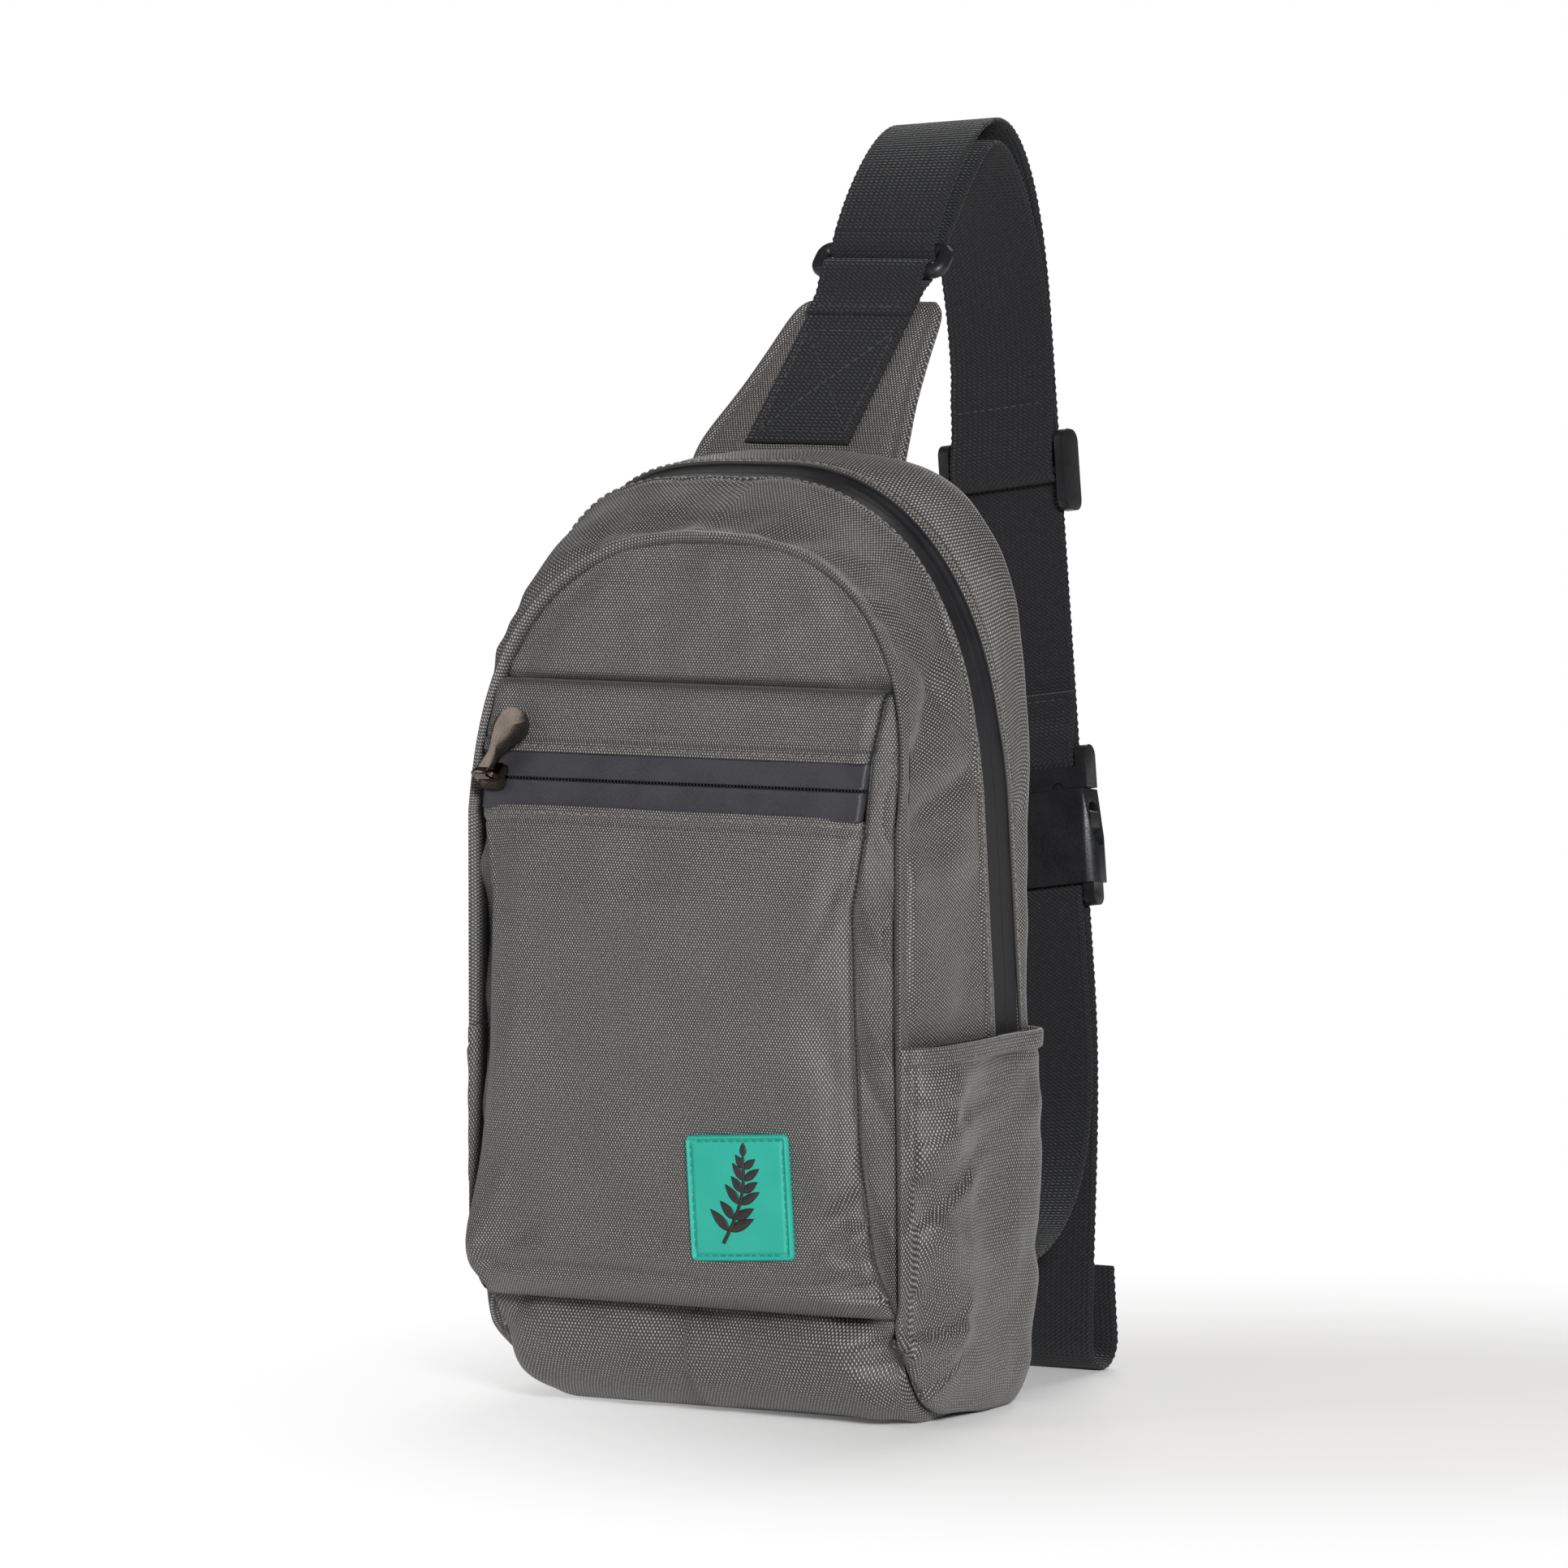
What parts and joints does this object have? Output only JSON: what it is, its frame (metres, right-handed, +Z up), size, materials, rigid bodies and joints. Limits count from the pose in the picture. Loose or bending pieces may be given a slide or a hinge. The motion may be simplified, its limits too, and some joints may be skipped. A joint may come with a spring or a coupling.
{
  "type": "sling_bag",
  "caption": "Sling bag with an arched main zip, a zipped front pocket, open side pockets and one webbing shoulder strap with a tri-glide and a side-release buckle",
  "frame": {"origin": "centre of the base's resting face", "axes": "+Z up, -Y the bag's front, +X to the right as seen from the front"},
  "size_m": [0.1818, 0.2207, 0.4094],
  "materials": {
    "cloth": "dark grey oxford weave",
    "zip_tape": "satin coated zip tape",
    "webbing": "ribbed black webbing",
    "plastic": "satin black moulding",
    "metal": "gunmetal plating",
    "foam": "closed-cell foam",
    "board": "plain stiffener",
    "patch": "soft rubber"
  },
  "bodies": {
    "bag": {"base_panel": "cloth", "side_panel_left": "cloth", "side_panel_right": "cloth", "side_pocket_left": "cloth", "side_pocket_right": "cloth", "front_gusset": "cloth", "rear_gusset": "cloth", "back_panel": "cloth", "upper_front_panel": "cloth", "pocket_back_panel": "cloth", "lower_front_panel": "cloth", "pocket_top_band": "cloth", "pocket_panel": "cloth", "pocket_gusset_left": "cloth", "pocket_gusset_right": "cloth", "wing_panel": "cloth", "strap_anchor": "cloth", "main_zip_tape_front": "zip_tape", "main_zip_tape_rear": "zip_tape", "front_zip_tape_upper": "zip_tape", "front_zip_tape_lower": "zip_tape", "wing_webbing": "webbing", "shoulder_strap": "webbing", "strap_return": "webbing", "lower_strap": "webbing", "strap_ring": "plastic", "buckle_plug": "plastic", "back_foam": "foam", "base_board": "board", "patch": "patch"},
    "main_slider": {"main_zip_slider": "metal"},
    "main_puller": {"main_zip_puller": "metal"},
    "pocket_slider": {"front_zip_slider": "metal"},
    "pocket_puller": {"front_zip_puller": "metal"},
    "glide": {"triglide": "plastic"},
    "socket": {"buckle_socket": "plastic"},
    "arm_left": {"buckle_arm_left": "plastic"},
    "arm_right": {"buckle_arm_right": "plastic"}
  },
  "joints": [
    {"name": "pocket_zip", "type": "slide", "parent": "bag", "child": "pocket_slider", "axis": [1, 0, 0], "range_m": [0, 0.129]},
    {"name": "pocket_puller_swing", "type": "hinge", "parent": "pocket_slider", "child": "pocket_puller", "pos_m": [-0.06843, -0.05434, 0.20239], "axis": [1, 0, 0], "range_deg": [-4, 165]},
    {"name": "main_zip", "type": "slide", "parent": "bag", "child": "main_slider", "axis": [0, -0.1142, 0.9935], "range_m": [0, 0.05]},
    {"name": "main_puller_swing", "type": "hinge", "parent": "main_slider", "child": "main_puller", "pos_m": [-0.0844, 0.02175, 0.12651], "axis": [0, 0.9935, 0.1142], "range_deg": [0, 120]},
    {"name": "glide_slide", "type": "slide", "parent": "bag", "child": "glide", "axis": [-0.1415, 0.1271, 0.9818], "range_m": [-0.03, 0.012], "deforming": ["strap_return"]},
    {"name": "buckle_release", "type": "slide", "parent": "bag", "child": "socket", "axis": [0.1415, -0.1271, -0.9818], "range_m": [0, 0.034], "deforming": ["lower_strap", "buckle_arm_left", "buckle_arm_right"]},
    {"name": "arm_right_flex", "type": "hinge", "parent": "bag", "child": "arm_right", "pos_m": [0.04077, 0.13466, 0.1885], "axis": [0.0181, 0.9919, -0.1258], "range_deg": [0, 7], "stiffness_Nm_per_rad": 1},
    {"name": "arm_left_flex", "type": "hinge", "parent": "bag", "child": "arm_left", "pos_m": [0.01504, 0.13466, 0.18479], "axis": [0.0181, 0.9919, -0.1258], "range_deg": [-7, 0], "stiffness_Nm_per_rad": 1}
  ],
  "couplings": [
    {"joint": "arm_left_flex", "follows": "arm_right_flex", "ratio": -1}
  ]
}
